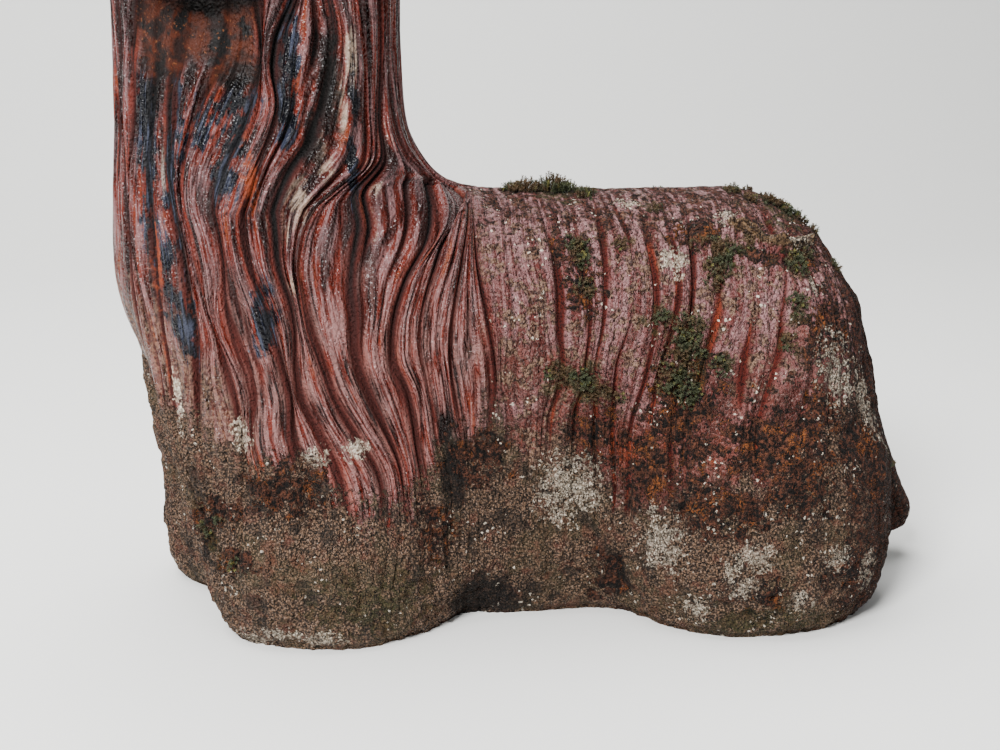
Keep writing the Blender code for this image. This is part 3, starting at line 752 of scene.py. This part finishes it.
def pod(
    name, form, path, axis, locks, depth, rings, split, strand=1.0, seed=60, smooth_face=0.0, dark=0.0,
):
    """A ball of hair stretched over a form. Its rays start along a path and tilt from the axis to its
    opposite."""
    side = np.cross(axis, (0.3, 0.2, 0.9))
    side /= np.linalg.norm(side)
    other = np.cross(axis, side)
    ring, column = np.meshgrid(np.arange(rings + 1), np.arange(locks * split), indexing="ij")
    number = np.where(ring == 0, 0, np.where(ring == rings, 1, 2 + (ring - 1) * locks * split + column))
    ring = np.concatenate(([0, rings], ring[1:-1].ravel()))
    column = np.concatenate(([0, 0], column[1:-1].ravel()))
    down = ring / rings
    lock, share = column // split, column % split / split
    hair = lock + share
    fall = 2 * math.pi * 1.6 * HEAD_SIZE * down

    def edge(lock):
        swing = np.sin(fall / LOCK_LENGTHS[lock % locks, 0] + LOCK_STARTS[lock % locks, 0])
        return lock + 0.7 * WANDER * swing * ease(0.05, 0.3, down)

    turn = 2 * math.pi * mix(edge(lock), edge(lock + 1), share) / locks
    tilt = math.pi * down
    sideways = np.cos(turn)[:, None] * side + np.sin(turn)[:, None] * other
    direction = np.cos(tilt)[:, None] * axis + np.sin(tilt)[:, None] * sideways
    steps = np.linspace(0, 1, len(path))
    origin = np.stack([np.interp(down, steps, path[:, n]) for n in range(3)], axis=1)
    points = skin(form, origin, direction, 0.01 * LENGTH, 40)
    normal = outward(form, points)
    crest = np.sqrt(np.clip(np.sin(math.pi * share), 0, 1))
    grown = ease(0.08, 0.3, down) * (1 - ease(0.93, 1.0, down)) * (1 - smooth_face * on_face(points))
    grown *= np.clip(0.8 + 0.6 * grain(seed + 5, lock * 2.3, down * 4), 0.3, 1.2)
    run = 1.1 * down * np.linalg.norm(points - points[0], axis=1).max()
    strands = 0.0013 * clefts(2.0 * hair, run, 0.05, 0.35, seed)
    strands += 0.0009 * clefts(4.0 * hair, run, 0.035, 0.35, seed + 2)
    strands *= strand * grown * np.sin(math.pi * column / (locks * split)) ** 0.2
    dirty = grime(points)
    sandy = 0.0006 * grit(points, 0.005, 54) + 0.0005 * grit(points, 0.0028, 58)
    carved = depth * (1 - crest) * grown + strands + MOUTH_DEPTH * mouth(points)
    carved += SKIN_INSET + np.clip(0.75 * dirty * sandy, -0.0005, 0.001)
    facts = {
        "across": hair * LOCK_WIDTH, "run": run,
        "cut": np.clip((1 - crest) * grown + strands / 0.004 + mouth(points), 0, 1),
        "paint": 1 - 0.75 * dirty, "grime": dirty,
        **dict.fromkeys(("flank", "throat", "fold"), np.zeros(len(points))), **marks_at(points),
    }
    facts["worn"] = np.maximum(facts["worn"], dark)
    following = np.roll(number, -1, axis=1)
    faces = np.stack((number[:-1], following[:-1], following[1:], number[1:]), axis=2)
    finished = inside(points - carved[:, None] * normal)
    return new_piece(name, finished, faces.reshape(-1, 4).tolist(), facts)


fine = 1.0
head_path = np.array((from_head(0, 0, 0), from_head(0.06, 0, -0.04), from_head(0.1, 0, -0.1)))
statue.append(pod(
    "head", head_form, head_path, UP, 30, 0.8 * LOCK_DEPTH, round(125 * fine), round(10 * fine),
    smooth_face=0.7,
))
for side, name in ((-1, "far_ear"), (1, "near_ear")):
    ear_path = np.array((from_head(-0.02, 0.42 * side, 0.06), from_head(0.01, 0.46 * side, -0.3)))
    statue.append(pod(
        name, lambda points: ear_form(points, side), ear_path, UP, 6, 0.6 * LOCK_DEPTH,
        round(90 * fine), round(24 * fine), seed=70,
    ))
statue.append(pod(
    "tail", tail_form, TAIL_PATH, np.array((-0.3, 0, 0.95)), 7, 0.5 * LOCK_DEPTH, round(130 * fine),
    round(24 * fine), seed=80,
))
for name, spot, radii in (
    ("nose", (0.6, 0, -0.05), (0.065, 0.085, 0.065)),
    ("far_eye", (0.43, -0.17, 0.04), (0.06, 0.065, 0.06)),
    ("near_eye", (0.43, 0.17, 0.04), (0.06, 0.065, 0.06)),
):
    centre = from_head(*spot)
    statue.append(pod(
        name, lambda points: head_egg(points, spot, radii), np.array((centre, centre)), FACE,
        4, 0.0, 24, 8, strand=0.0, dark=2.0,
    ))

# %% [markdown]
# A finish is a chain of small steps. Each step adds one node and hands on a signal, a number or a colour
# that changes over the surface. Signals can be added and multiplied, so a finish reads as a recipe: noise for
# grain, spots for specks, and layers of colour, each with the share it covers.

# %% Steps of a finish
def maths(operation):
    return lambda a, b: step("Math", {0: a, 1: b}, operation=operation)


class Signal:
    """What a step hands on. A sum or a product of signals adds a step of its own."""
    __add__, __sub__, __mul__ = maths("ADD"), maths("SUBTRACT"), maths("MULTIPLY")

    def __init__(self, socket):
        self.socket = socket

    def __rsub__(self, number):
        return step("Math", {0: number, 1: self}, operation="SUBTRACT")


def start_finish(name):
    """A new material with an empty recipe and its shader."""
    global recipe, here
    finish = bpy.data.materials.new(name)
    finish.use_nodes = True
    recipe = finish.node_tree
    here = Signal(recipe.nodes.new("ShaderNodeTexCoord").outputs["Object"])
    return finish, recipe.nodes["Principled BSDF"]


def fill(node, sockets):
    """Joins signals to the sockets of a node, and sets the others to plain values."""
    for socket, value in sockets.items():
        if isinstance(value, Signal):
            recipe.links.new(value.socket, node.inputs[socket])
        else:
            node.inputs[socket].default_value = value


def step(kind, sockets, out=0, **settings):
    """Adds one node and hands on one of its outputs."""
    node = recipe.nodes.new("ShaderNode" + kind)
    for setting, value in settings.items():
        setattr(node, setting, value)
    fill(node, sockets)
    return Signal(node.outputs[out])


def fact(name):
    """A number that the mesh carries for each point."""
    return step("Attribute", {}, 2, attribute_name=name)


def rise(value, start, end):
    """0 below start, 1 above end, eased between; it falls where start is above end."""
    sockets = {"Value": value, "From Min": start, "From Max": end}
    return step("MapRange", sockets, interpolation_type="SMOOTHSTEP")


def noise(size, where=None, detail=3.0):
    """Cloudy grain with clouds of a size in metres, from 0 to 1."""
    sockets = {"Vector": where or here, "Scale": 1 / size, "Detail": detail, "Roughness": 0.55}
    return step("TexNoise", sockets)


def spots(size, where=None):
    """Distance to the nearest of many scattered points, counted in their spacing."""
    return step("TexVoronoi", {"Vector": where or here, "Scale": 1 / size})


def daylight(red, green, blue):
    """A colour as the eye reads it in daylight, from 0 to 255, turned into the shader's own numbers."""
    return (*(((n / 255 + 0.055) / 1.055) ** 2.4 for n in (red, green, blue)), 1.0)


def blend(a, b, share):
    """Goes from colour a to colour b. Each is a signal or a colour in daylight."""
    a, b = (daylight(*colour) if isinstance(colour, tuple) else colour for colour in (a, b))
    return step("Mix", {"Factor": share, 6: a, 7: b}, 2, data_type="RGBA")


def layered(colour, *layers):
    """Lays colours over the first one, each with the share that it covers."""
    for over, share in layers:
        colour = blend(colour, over, share)
    return colour


# %% [markdown]
# The statue's finish has three grounds: glossy dark red paint on the neck and chest, the same paint gone
# dull and dusty on the flank, and bare concrete near the ground. Streaks that follow the hair break up the
# paint, dark red shows in the cuts with painted shade that turns the deepest near black, a painted pale
# highlight lies on the crests, and the paint thins out over the sand where rain has worn it.

# %% Grain of the painted concrete
painted, shader = start_finish("painted_concrete")
across, run, cut, flank, paint, throat = map(fact, ("across", "run", "cut", "flank", "paint", "throat"))


def streaks(width, length, detail=3.0):
    """Streaks of a width and a length in metres that follow the hair, from 0 to 1."""
    along_hair = step("CombineXYZ", {0: across * (1 / width), 1: run * (1 / length), 2: 0.0})
    return noise(1.0, along_hair, detail)


def ragged(name, *noises):
    """A mark with its edge broken up by noises, each given with the width of its bite."""
    total = fact(name)
    for source, bite in noises:
        total = total + (source - 0.5) * bite
    return total * rise(fact(name), 0.0, 0.15)


streak = streaks(0.0045, 0.05)
thread = streaks(0.0014, 0.025, 2.0)
cloud = noise(0.035)
patch = noise(0.011)
coarse = noise(0.005, detail=2.0)
speck = noise(0.0022, detail=2.0)
sand = noise(0.0013, detail=2.0)
grains = rise(spots(0.002), 0.75, 0.05)
from_chest, height = (step("SeparateXYZ", {0: here}, axis) for axis in (0, 2))

# %% Paint
silt = blend((40, 26, 19), (120, 94, 76), rise(speck, 0.4, 0.62))
low_chest = rise(height, 0.33, 0.15) + (cloud - 0.5) * 1.6
low_chest = low_chest * rise(from_chest + height * 0.5, -0.07, -0.12)
low_neck = rise(height, 0.28, 0.18) * 0.7
# Painted highlight: pale mauve-grey laid on the crests of the strands.
glossy = layered(
    blend((26, 6, 4), (92, 31, 21), rise(streak, 0.4, 0.62)),
    ((126, 97, 98), rise(cut, 0.35, 0.0) * rise(thread, 0.42, 0.58) * rise(streak, 0.3, 0.55) * 0.72),
    ((108, 50, 28), rise(streak, 0.57, 0.7) * rise(cloud, 0.47, 0.58)),
    ((142, 98, 91), rise(height, 0.28, 0.18) * rise(thread, 0.4, 0.6) * 0.45),
    (silt, rise(low_chest + (coarse - 0.5) * 1.2, 0.45, 0.95) * 0.55),
)
mauve = blend((126, 90, 90), (84, 38, 34), rise(streak, 0.4, 0.6))
ochre = blend((100, 52, 43), (64, 30, 24), rise(streak, 0.38, 0.62))
dusty = layered(
    blend(ochre, mauve, rise(height + (cloud - 0.5) * 0.2, 0.14, 0.21)),
    ((128, 106, 99), rise(speck, 0.54, 0.64) * 0.45),
    ((60, 23, 18), rise(coarse, 0.5, 0.62) * 0.7),
    ((30, 21, 18), rise(noise(0.003), 0.6, 0.66) * 0.8),
    (silt, rise(patch + (coarse - 0.5) * 0.8, 0.49, 0.58) * 0.8),
)
# Darker red in the cuts: partly the paint's own colour in the grooves, and on the neck partly painted shade.
deep = layered(
    blend((40, 8, 5), (68, 22, 16), low_neck),
    ((70, 18, 10), flank),
    ((112, 44, 25), rise(streak, 0.5, 0.62) * rise(cloud, 0.46, 0.56) * flank),
)
# Blue-black paint where the red has worn off. Its paler blue threads are painted highlights.
slate = blend((9, 9, 14), (54, 58, 73), rise(thread, 0.5, 0.72))
bleached = rise(ragged("pale", (streak, 0.8), (thread, 2.0), (coarse, 0.8)), 0.4, 0.95)
brown = layered(
    blend((62, 24, 9), (24, 8, 4), rise(patch, 0.4, 0.6)),
    ((9, 6, 6), rise(noise(0.017), 0.56, 0.64)),
    ((112, 66, 38), rise(speck, 0.62, 0.7) * 0.6),
)
red = layered(
    blend(glossy, dusty, flank),
    (deep, rise(cut, 0.3, 0.7)),
    # Painted shade: near-black in the deepest cuts, less on the flank and the lower neck.
    ((7, 2, 2), rise(cut, 0.58, 0.92) * (1.0 - (flank * 0.7 + low_neck * (1.0 - flank)))),
    (slate, rise(ragged("worn", (patch, 1.4), (thread, 1.2)), 0.45, 0.65)),
    ((128, 56, 29), rise(ragged("rust", (streak, 1.6), (coarse, 1.0)), 0.5, 0.85) * 0.75),
    ((160, 138, 120), bleached * rise(cut, 0.5, 0.1) * 0.75),
    (brown, throat),
)

# %% Bare concrete and dirt
# The dark between the sand grains is partly the cement's own colour and partly painted shade between them.
stone = layered(
    blend((38, 28, 21), (128, 99, 78), rise(grains + (speck - 0.5) * 1.5, 0.0, 0.8)),
    ((150, 124, 106), rise(sand, 0.5, 0.66) * 0.6),
    ((74, 66, 42), rise(cloud, 0.48, 0.62) * 0.35),
    ((104, 58, 45), rise(patch, 0.5, 0.64) * 0.4),
    ((28, 23, 19), rise(noise(0.02), 0.54, 0.64) * 0.65),
)
left = paint * 2.0 + (patch - 0.5) * 2.0 + (streak - 0.5) * 1.8 + (speck - 0.5) * 2.0
painted_share = rise(left, 0.5, 1.25)
# Real grime on the rump, plus painted shade: the top of the back is darkened with the same brown against the
# light from above.
dirt_and_top_shade = fact("grime") * 0.95 + rise(height, 0.225, 0.27) * flank * 0.55
dirt_and_top_shade = rise(dirt_and_top_shade + (coarse - 0.5) * 1.2 + (streak - 0.5), 0.3, 0.75)
mud_and_top_shade_colour = blend((20, 9, 5), (72, 36, 22), rise(speck, 0.4, 0.6))
# Painted shade: near-black laid into the deep recesses, under the chin and under the thigh ridges.
hollow_shade = rise(ragged("hollow_shade", (patch, 0.6), (coarse, 0.6)), 0.25, 0.65)
hollow_shade_colour = blend((6, 4, 3), (40, 28, 22), rise(speck, 0.5, 0.66) * (1.0 - painted_share))

# %% Growth
crust_share = rise(ragged("crust", (patch, 2.0), (coarse, 1.2), (speck, 1.2)), 0.4, 0.6)
dry = layered(
    blend((18, 10, 6), (86, 50, 35), rise(noise(0.0035), 0.4, 0.6)),
    ((124, 70, 32), rise(noise(0.013), 0.53, 0.62) * rise(sand, 0.4, 0.6)),
)
green_share = rise(ragged("green", (patch, 1.6), (coarse, 1.2)), 0.45, 0.85)
rope = blend((34, 20, 12), (104, 80, 56), rise(speck, 0.35, 0.65))
pale_share = rise(ragged("lichen", (patch, 1.6), (coarse, 1.8), (speck, 2.0)), 0.36, 0.7)
pale_growth = blend((142, 126, 108), (208, 196, 178), rise(sand, 0.4, 0.6))
bend = step("TexNoise", {"Vector": here, "Scale": 450.0}, 1)
bent = step("VectorMath", {0: bend, 1: (0.003, 0.003, 0.003), 2: here}, operation="MULTIPLY_ADD")
flecks = rise(spots(0.0044, bent), 0.27, 0.16) * rise(noise(0.018), 0.53, 0.62)
flecks = flecks * (flank * 0.8 + (1.0 - painted_share))
ground = layered(
    blend(stone, red, painted_share),
    (mud_and_top_shade_colour, dirt_and_top_shade * 0.92),
    (hollow_shade_colour, hollow_shade * 0.9),
    (dry, crust_share),
    ((52, 52, 25), green_share * 0.6),
    (rope, rise(fact("fold"), 0.25, 0.6)),
    (pale_growth, pale_share * 0.9 * rise(grains, -0.3, 0.4)),
    ((190, 178, 162), rise(flecks, 0.2, 0.6)),
)

# %% How rough and how bumpy it is
rough = (1.0 - painted_share) + crust_share
dull = flank * 0.3 + throat * 0.45 + rise(cut, 0.15, 0.6) * 0.7 + (rough + dirt_and_top_shade) * 0.7 + 0.15
hair = step("Bump", {"Height": streak * 0.4 + thread * 0.6, "Distance": 0.002, "Strength": 0.9})
pebbly = step("Bump", {
    "Height": noise(0.0027, detail=1.0), "Distance": 0.0018, "Strength": 1.0, "Normal": hair,
})
crumbs = (grains * 1.2 + sand * 0.6 + noise(0.006)) * (rough + dirt_and_top_shade * 0.5 + flank * 0.25 + 0.12)
crumbly = step("Bump", {"Height": crumbs, "Distance": 0.0034, "Strength": 1.0, "Normal": pebbly})
fill(shader, {
    "Base Color": ground, "Roughness": dull + (speck - 0.5) * 0.3, "Specular IOR Level": 0.24,
    "Normal": crumbly,
})
for piece in statue:
    piece.data.materials.append(painted)
print("the painted concrete takes", len(recipe.nodes), "steps")

# %% Pale card
pale, shader = start_finish("pale_card")
fill(shader, {"Base Color": daylight(238, 238, 235), "Roughness": 0.85})
card.data.materials.append(pale)

# %% [markdown]
# Moss has settled on the back and the thigh in small cushions. A cushion is a crowd of shoots, each a stem
# with whorls of leaves, tallest in the middle. They are meshed one by one, since a painted or bumpy patch
# would look flat against the sky. Rows give a cushion's place, reach and height in millimetres.

# %% Cushions of moss
CUSHIONS = plan((
    (8, -4, 279, 8, 3.5), (18, -4, 279, 10, 6), (36, -4, 279, 12, 10.5), (46, -6, 279, 8, 6.5),
    (55, -16, 276, 7, 3.5), (99, -35, 268, 5, 3), (133, -74, 246, 10, 5), (130, -81, 238, 10, 5),
    (117, -67, 250, 6, 3), (124, -89, 228, 6, 3.5), (107, -98, 201, 10, 5), (104, -101, 189, 10, 5),
    (99, -101, 176, 10, 4), (93, -100, 165, 8, 3), (106, -103, 159, 8, 2.5), (89, -92, 206, 7, 4),
    (21, -93, 173, 6, 4.5), (29, -92, 170, 6, 4), (40, -90, 168, 7, 4), (48, -91, 161, 9, 4),
    (63, -91, 156, 5, 3), (69, -63, 248, 5, 3.5), (40, -64, 248, 9, 2.5), (42, -71, 240, 6, 2),
    (41, -81, 225, 6, 3.5), (152, -73, 248, 4, 3), (181, -79, 238, 9, 4), (193, -68, 240, 5, 3),
    (178, -97, 214, 7, 4), (169, -107, 192, 7, 3), (125, -109, 179, 7, 3.5), (158, -13, 274, 6, 3),
    (168, -21, 271, 6, 2.5), (182, -19, 268, 8, 3.5), (193, -19, 263, 7, 3.5), (206, -12, 256, 7, 4),
    (215, -14, 248, 6, 3.5), (223, -44, 227, 6, 3), (248, -85, 100, 5, 2.5), (-202, -71, 74, 5, 3),
    (-181, -88, 59, 5, 3), (-190, -80, 83, 4, 2.5), (-205, -68, 90, 4, 2.5),
))
SHOOT_SPACING = 0.0016
WHORL_SPACING = 0.0013
STEM_RADIUS = 0.00035
LEAF = np.array(((0, 0, -0.22), (0, 0, 0.22), (0.6, 0.5, 0.3), (0.6, 0.5, -0.3), (1.2, 1.4, 0))) / 1000


def shoots_on(cushions, seed):
    """The foot, the way and the height of each shoot in the cushions."""
    random = np.random.default_rng(seed)
    shoots = []
    for *middle, reach, height in cushions:
        off = np.linalg.norm(coat_finished - middle, axis=1)
        near = np.flatnonzero(off < 1.5 * reach)
        if len(near) < 3:
            continue
        count = int(5.5 * (reach / SHOOT_SPACING) ** 2)
        chosen = random.choice(near, min(count, len(near)), replace=False)
        share = off[chosen] / reach * (1 + 0.3 * grit(coat_finished[chosen], 0.005, seed))
        chosen, share = chosen[share < 1], share[share < 1]
        out = coat_shading[chosen] + 0.4 * random.normal(size=(len(chosen), 3)) + (0, 0, 0.35)
        feet = coat_finished[chosen] + random.normal(scale=0.0004, size=(len(chosen), 3))
        ways = out / np.linalg.norm(out, axis=1)[:, None]
        tall = (0.0018 + height * (1 - share**2)) * random.uniform(0.7, 1.2, len(chosen))
        shoots += zip(feet, ways, tall)
    return shoots


def moss_piece(name, cushions, seed):
    """A mesh of shoots: a three-sided stem, and leaves in whorls up to its tip."""
    random = np.random.default_rng(seed)
    shoots = shoots_on(cushions, seed)
    points, faces, tips, tones = [], [], [], []
    for spot, way, height in shoots:
        side = np.cross(way, (0.31, 0.17, 0.93))
        side /= np.linalg.norm(side)
        other = np.cross(way, side)
        tone = random.uniform()
        base = len(points)
        points += [spot + STEM_RADIUS * (math.cos(a) * side + math.sin(a) * other) for a in (0, 2.1, 4.2)]
        points.append(spot + height * way)
        tips += [0.0, 0.0, 0.0, 0.6]
        faces += [(base + n, base + (n + 1) % 3, base + 3) for n in range(3)]
        whorls = max(2, round(height / WHORL_SPACING))
        for whorl in range(whorls):
            foot = spot + height * (whorl + 1) / whorls * way * 0.92
            for leaf in range(4):
                turn = 1.57 * leaf + 0.8 * whorl + tone * 6
                out = math.cos(turn) * side + math.sin(turn) * other
                start = len(points)
                points += [foot + o * out + w * way + a * np.cross(way, out) for o, w, a in LEAF]
                tips += [0.2, 0.2, 0.6, 0.6, 1.0]
                faces += [(start, start + 1, start + 2, start + 3), (start + 3, start + 2, start + 4)]
        tones += [tone] * (len(points) - base)
    print(len(shoots), "shoots")
    facts = {"tip": np.array(tips), "tone": np.array(tones)}
    return new_piece(name, np.array(points), faces, facts, smooth=False)


moss, shader = start_finish("moss")
tip, tone = fact("tip"), fact("tone")
fill(shader, {"Roughness": 0.8, "Base Color": layered(
    blend((20, 21, 11), (62, 68, 38), tip),
    ((118, 112, 48), rise(tone, 0.84, 0.98) * tip),
    (blend((28, 18, 10), (88, 60, 30), tip), rise(noise(0.016), 0.46, 0.56) * 0.85),
)})

far_cushions = CUSHIONS * (1, -1, 1, 1, 1) + np.array((FAR_SHIFT, 0, 0, 0, 0))
for name, cushions, seed in (("near_moss", CUSHIONS, 91), ("far_moss", far_cushions[5:], 92)):
    moss_piece(name, cushions, seed).data.materials.append(moss)
